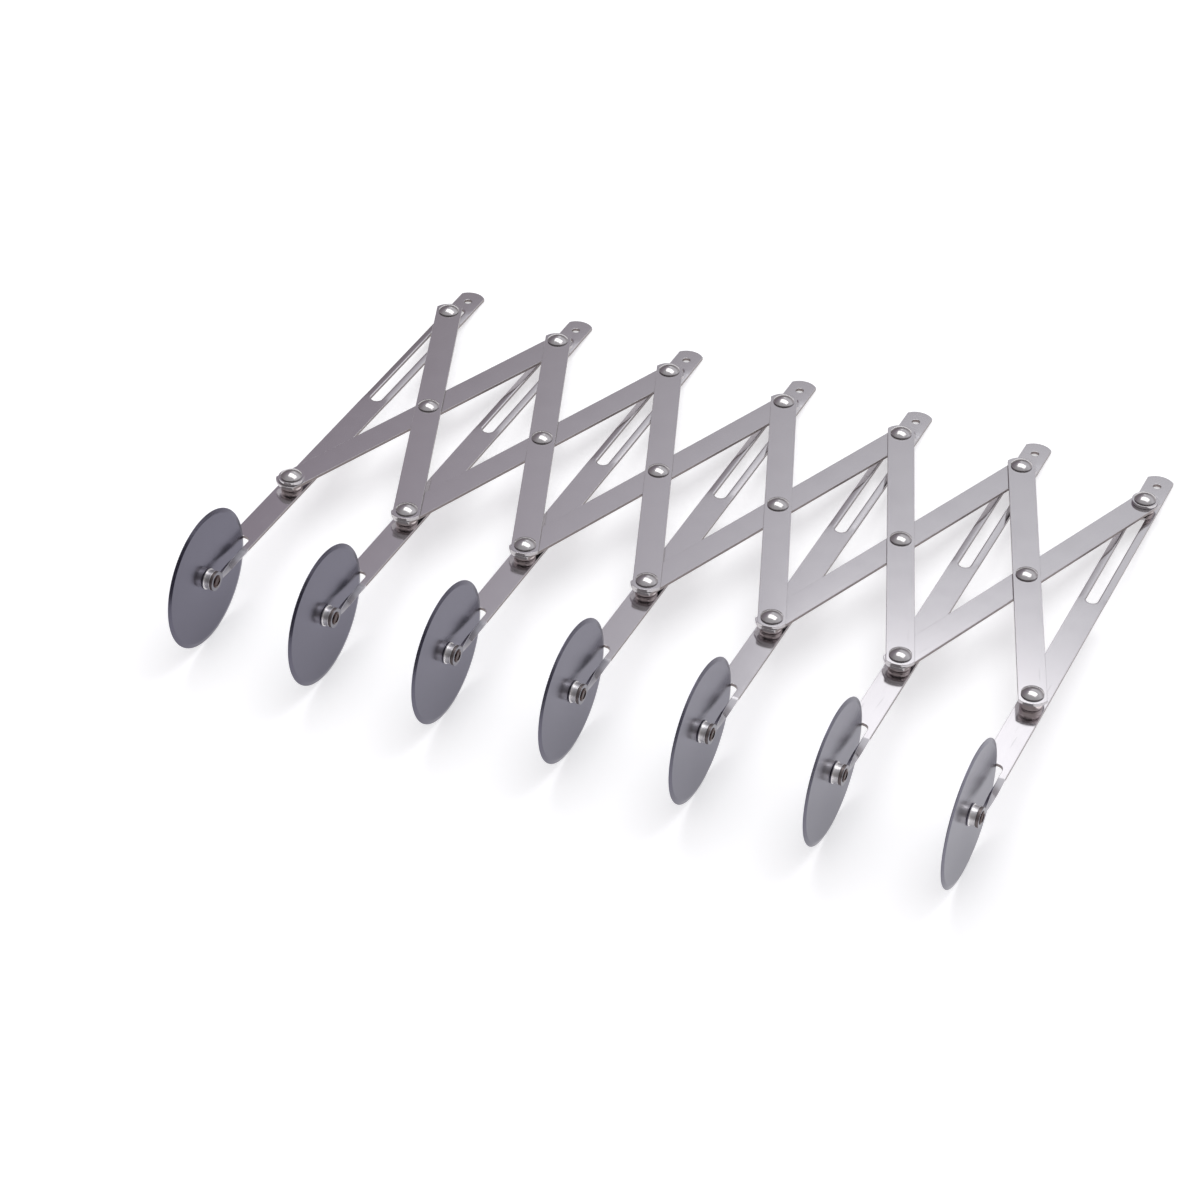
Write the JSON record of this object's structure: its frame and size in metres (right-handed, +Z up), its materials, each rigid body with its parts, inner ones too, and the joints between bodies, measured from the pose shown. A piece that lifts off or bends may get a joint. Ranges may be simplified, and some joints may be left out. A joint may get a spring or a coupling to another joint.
{
  "type": "expandable dough cutter",
  "caption": "Lazy-tongs lattice of riveted steel strips carrying parallel forked bars, each with a round cutting disc, spread or closed to set the width of the dough strips.",
  "frame": {"origin": "on the worktop under the middle of the tool, standing on its discs and on the tips of its tails", "axes": "+X along the row of discs, +Y from the discs back to the tails, +Z up"},
  "size_m": [0.2996, 0.2376, 0.052],
  "materials": {
    "strip_steel": "satin",
    "disc_steel": "satin",
    "hub_steel": "polished",
    "rivet_steel": "polished"
  },
  "bodies": {
    "bar_1": {"wheel_bar_1": "strip_steel", "axle_pin_1": "rivet_steel", "front_pivot_1": "rivet_steel"},
    "wheel_1": {"cutter_disc_1": "disc_steel", "disc_hub_1": "hub_steel"},
    "bar_2": {"wheel_bar_2": "strip_steel", "axle_pin_2": "rivet_steel", "front_pivot_2": "rivet_steel"},
    "wheel_2": {"cutter_disc_2": "disc_steel", "disc_hub_2": "hub_steel"},
    "bar_3": {"wheel_bar_3": "strip_steel", "axle_pin_3": "rivet_steel", "front_pivot_3": "rivet_steel"},
    "wheel_3": {"cutter_disc_3": "disc_steel", "disc_hub_3": "hub_steel"},
    "bar_4": {"wheel_bar_4": "strip_steel", "axle_pin_4": "rivet_steel", "front_pivot_4": "rivet_steel"},
    "wheel_4": {"cutter_disc_4": "disc_steel", "disc_hub_4": "hub_steel"},
    "bar_5": {"wheel_bar_5": "strip_steel", "axle_pin_5": "rivet_steel", "front_pivot_5": "rivet_steel"},
    "wheel_5": {"cutter_disc_5": "disc_steel", "disc_hub_5": "hub_steel"},
    "bar_6": {"wheel_bar_6": "strip_steel", "axle_pin_6": "rivet_steel", "front_pivot_6": "rivet_steel"},
    "wheel_6": {"cutter_disc_6": "disc_steel", "disc_hub_6": "hub_steel"},
    "bar_7": {"wheel_bar_7": "strip_steel", "axle_pin_7": "rivet_steel", "front_pivot_7": "rivet_steel"},
    "wheel_7": {"cutter_disc_7": "disc_steel", "disc_hub_7": "hub_steel"},
    "upper_1": {"upper_link_1": "strip_steel", "rear_pivot_1": "rivet_steel"},
    "lower_1": {"lower_link_1": "strip_steel", "middle_rivet_1": "rivet_steel"},
    "upper_2": {"upper_link_2": "strip_steel", "rear_pivot_2": "rivet_steel"},
    "lower_2": {"lower_link_2": "strip_steel", "middle_rivet_2": "rivet_steel"},
    "upper_3": {"upper_link_3": "strip_steel", "rear_pivot_3": "rivet_steel"},
    "lower_3": {"lower_link_3": "strip_steel", "middle_rivet_3": "rivet_steel"},
    "upper_4": {"upper_link_4": "strip_steel", "rear_pivot_4": "rivet_steel"},
    "lower_4": {"lower_link_4": "strip_steel", "middle_rivet_4": "rivet_steel"},
    "upper_5": {"upper_link_5": "strip_steel", "rear_pivot_5": "rivet_steel"},
    "lower_5": {"lower_link_5": "strip_steel", "middle_rivet_5": "rivet_steel"},
    "upper_6": {"upper_link_6": "strip_steel", "rear_pivot_6": "rivet_steel"},
    "lower_6": {"lower_link_6": "strip_steel", "middle_rivet_6": "rivet_steel", "rear_pivot_7": "rivet_steel"}
  },
  "joints": [
    {"name": "lattice_spread", "type": "hinge", "parent": "bar_4", "child": "upper_3", "pos_m": [0, -0.03087, 0.02158], "axis": [0, 0.1193, 0.9929], "range_deg": [-14.9, 39.9]},
    {"name": "middle_3_turn", "type": "hinge", "parent": "upper_3", "child": "lower_3", "pos_m": [-0.024, 0.0323, 0.014], "axis": [0, 0.1193, 0.9929], "range_deg": [-79.9, 29.9]},
    {"name": "front_3_bar_turn", "type": "hinge", "parent": "lower_3", "child": "bar_3", "pos_m": [-0.048, -0.03087, 0.02158], "axis": [0, 0.1193, 0.9929], "range_deg": [-15, 40]},
    {"name": "front_3_upper_turn", "type": "hinge", "parent": "bar_3", "child": "upper_2", "pos_m": [-0.048, -0.03087, 0.02158], "axis": [0, 0.1193, 0.9929], "range_deg": [-15, 40]},
    {"name": "middle_2_turn", "type": "hinge", "parent": "upper_2", "child": "lower_2", "pos_m": [-0.072, 0.0323, 0.014], "axis": [0, 0.1193, 0.9929], "range_deg": [-79.9, 29.9]},
    {"name": "front_2_bar_turn", "type": "hinge", "parent": "lower_2", "child": "bar_2", "pos_m": [-0.096, -0.03087, 0.02158], "axis": [0, 0.1193, 0.9929], "range_deg": [-15, 40]},
    {"name": "front_2_upper_turn", "type": "hinge", "parent": "bar_2", "child": "upper_1", "pos_m": [-0.096, -0.03087, 0.02158], "axis": [0, 0.1193, 0.9929], "range_deg": [-15, 40]},
    {"name": "middle_1_turn", "type": "hinge", "parent": "upper_1", "child": "lower_1", "pos_m": [-0.12, 0.0323, 0.014], "axis": [0, 0.1193, 0.9929], "range_deg": [-79.9, 29.9]},
    {"name": "front_1_bar_turn", "type": "hinge", "parent": "lower_1", "child": "bar_1", "pos_m": [-0.144, -0.03087, 0.02158], "axis": [0, 0.1193, 0.9929], "range_deg": [-15, 40]},
    {"name": "front_4_lower_turn", "type": "hinge", "parent": "bar_4", "child": "lower_4", "pos_m": [0, -0.03087, 0.02158], "axis": [0, 0.1193, 0.9929], "range_deg": [-40, 15]},
    {"name": "middle_4_turn", "type": "hinge", "parent": "lower_4", "child": "upper_4", "pos_m": [0.024, 0.0323, 0.014], "axis": [0, 0.1193, 0.9929], "range_deg": [-29.9, 79.9]},
    {"name": "front_5_bar_turn", "type": "hinge", "parent": "upper_4", "child": "bar_5", "pos_m": [0.048, -0.03087, 0.02158], "axis": [0, 0.1193, 0.9929], "range_deg": [-40, 15]},
    {"name": "front_5_lower_turn", "type": "hinge", "parent": "bar_5", "child": "lower_5", "pos_m": [0.048, -0.03087, 0.02158], "axis": [0, 0.1193, 0.9929], "range_deg": [-40, 15]},
    {"name": "middle_5_turn", "type": "hinge", "parent": "lower_5", "child": "upper_5", "pos_m": [0.072, 0.0323, 0.014], "axis": [0, 0.1193, 0.9929], "range_deg": [-29.9, 79.9]},
    {"name": "front_6_bar_turn", "type": "hinge", "parent": "upper_5", "child": "bar_6", "pos_m": [0.096, -0.03087, 0.02158], "axis": [0, 0.1193, 0.9929], "range_deg": [-40, 15]},
    {"name": "front_6_lower_turn", "type": "hinge", "parent": "bar_6", "child": "lower_6", "pos_m": [0.096, -0.03087, 0.02158], "axis": [0, 0.1193, 0.9929], "range_deg": [-40, 15]},
    {"name": "middle_6_turn", "type": "hinge", "parent": "lower_6", "child": "upper_6", "pos_m": [0.12, 0.0323, 0.014], "axis": [0, 0.1193, 0.9929], "range_deg": [-29.9, 79.9]},
    {"name": "front_7_bar_turn", "type": "hinge", "parent": "upper_6", "child": "bar_7", "pos_m": [0.144, -0.03087, 0.02158], "axis": [0, 0.1193, 0.9929], "range_deg": [-40, 15]},
    {"name": "wheel_1_spin", "type": "hinge", "parent": "bar_1", "child": "wheel_1", "pos_m": [-0.144, -0.09279, 0.026], "axis": [1, 0, 0], "continuous": true},
    {"name": "wheel_2_spin", "type": "hinge", "parent": "bar_2", "child": "wheel_2", "pos_m": [-0.096, -0.09279, 0.026], "axis": [1, 0, 0], "continuous": true},
    {"name": "wheel_3_spin", "type": "hinge", "parent": "bar_3", "child": "wheel_3", "pos_m": [-0.048, -0.09279, 0.026], "axis": [1, 0, 0], "continuous": true},
    {"name": "wheel_4_spin", "type": "hinge", "parent": "bar_4", "child": "wheel_4", "pos_m": [0, -0.09279, 0.026], "axis": [1, 0, 0], "continuous": true},
    {"name": "wheel_5_spin", "type": "hinge", "parent": "bar_5", "child": "wheel_5", "pos_m": [0.048, -0.09279, 0.026], "axis": [1, 0, 0], "continuous": true},
    {"name": "wheel_6_spin", "type": "hinge", "parent": "bar_6", "child": "wheel_6", "pos_m": [0.096, -0.09279, 0.026], "axis": [1, 0, 0], "continuous": true},
    {"name": "wheel_7_spin", "type": "hinge", "parent": "bar_7", "child": "wheel_7", "pos_m": [0.144, -0.09279, 0.026], "axis": [1, 0, 0], "continuous": true}
  ],
  "couplings": [
    {"joint": "middle_3_turn", "follows": "lattice_spread", "ratio": -2},
    {"joint": "front_3_bar_turn", "follows": "lattice_spread", "ratio": 1},
    {"joint": "front_3_upper_turn", "follows": "lattice_spread", "ratio": 1},
    {"joint": "middle_2_turn", "follows": "lattice_spread", "ratio": -2},
    {"joint": "front_2_bar_turn", "follows": "lattice_spread", "ratio": 1},
    {"joint": "front_2_upper_turn", "follows": "lattice_spread", "ratio": 1},
    {"joint": "middle_1_turn", "follows": "lattice_spread", "ratio": -2},
    {"joint": "front_1_bar_turn", "follows": "lattice_spread", "ratio": 1},
    {"joint": "front_4_lower_turn", "follows": "lattice_spread", "ratio": -1},
    {"joint": "middle_4_turn", "follows": "lattice_spread", "ratio": 2},
    {"joint": "front_5_bar_turn", "follows": "lattice_spread", "ratio": -1},
    {"joint": "front_5_lower_turn", "follows": "lattice_spread", "ratio": -1},
    {"joint": "middle_5_turn", "follows": "lattice_spread", "ratio": 2},
    {"joint": "front_6_bar_turn", "follows": "lattice_spread", "ratio": -1},
    {"joint": "front_6_lower_turn", "follows": "lattice_spread", "ratio": -1},
    {"joint": "middle_6_turn", "follows": "lattice_spread", "ratio": 2},
    {"joint": "front_7_bar_turn", "follows": "lattice_spread", "ratio": -1}
  ]
}
